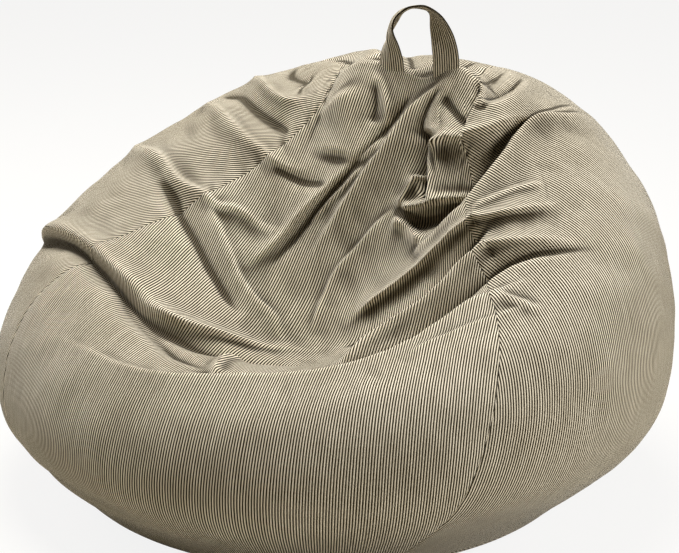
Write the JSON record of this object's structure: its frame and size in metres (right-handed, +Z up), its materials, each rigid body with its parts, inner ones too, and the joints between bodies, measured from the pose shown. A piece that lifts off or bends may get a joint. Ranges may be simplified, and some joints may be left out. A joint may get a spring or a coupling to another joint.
{
  "type": "bean bag chair",
  "caption": "Slumped corduroy bean bag chair with a seat hollow, gored cover on a round zipped base, strap handle on top and a zipped inner bag of beads.",
  "frame": {"origin": "centre of the round base on the floor", "axes": "+Z up, -Y out of the seat's front, +X to the sitter's left hand side as seen from the front right"},
  "size_m": [0.9885, 0.9428, 0.6727],
  "materials": {
    "corduroy": "matte",
    "zip_tape": "matte",
    "zip_teeth": "satin",
    "zip_metal": "satin",
    "lining": "matte",
    "liner_teeth": "satin",
    "beads": "matte"
  },
  "bodies": {
    "cover": {"front_panel": "corduroy", "right_side_panel": "corduroy", "back_panel": "corduroy", "left_side_panel": "corduroy", "base_panel": "corduroy", "zipper_tape_upper": "zip_tape", "zipper_tape_lower": "zip_tape", "zipper_teeth_upper": "zip_teeth", "zipper_teeth_lower": "zip_teeth", "zipper_bottom_stop": "zip_metal", "zipper_top_stops": "zip_metal", "liner_front_gore": "lining", "liner_right_gore": "lining", "liner_back_gore": "lining", "liner_left_gore": "lining", "liner_base_panel": "lining", "liner_zipper_tapes": "lining", "liner_zipper_teeth": "liner_teeth", "bead_filling": "beads"},
    "handle": {"carry_handle": "corduroy"},
    "slider": {"zipper_slider": "zip_metal"},
    "pull": {"zipper_pull": "zip_metal"},
    "liner_slider": {"liner_zipper_slider": "zip_metal"}
  },
  "joints": [
    {"name": "handle_swing", "type": "hinge", "parent": "cover", "child": "handle", "pos_m": [0.066, 0.178, 0.578], "axis": [1, 0, 0], "range_deg": [-50, 70], "stiffness_Nm_per_rad": 0.03},
    {"name": "slider_travel", "type": "hinge", "parent": "cover", "child": "slider", "pos_m": [0, 0, 0.03], "axis": [0, 0, 1], "range_deg": [0, 84]},
    {"name": "pull_swing", "type": "hinge", "parent": "slider", "child": "pull", "pos_m": [0.25412, 0.27846, 0.02802], "axis": [0.4767, 0.5223, 0.7071], "range_deg": [-75, 75]},
    {"name": "liner_slider_travel", "type": "slide", "parent": "cover", "child": "liner_slider", "axis": [1, 0, 0], "range_m": [0, 0.378]}
  ]
}
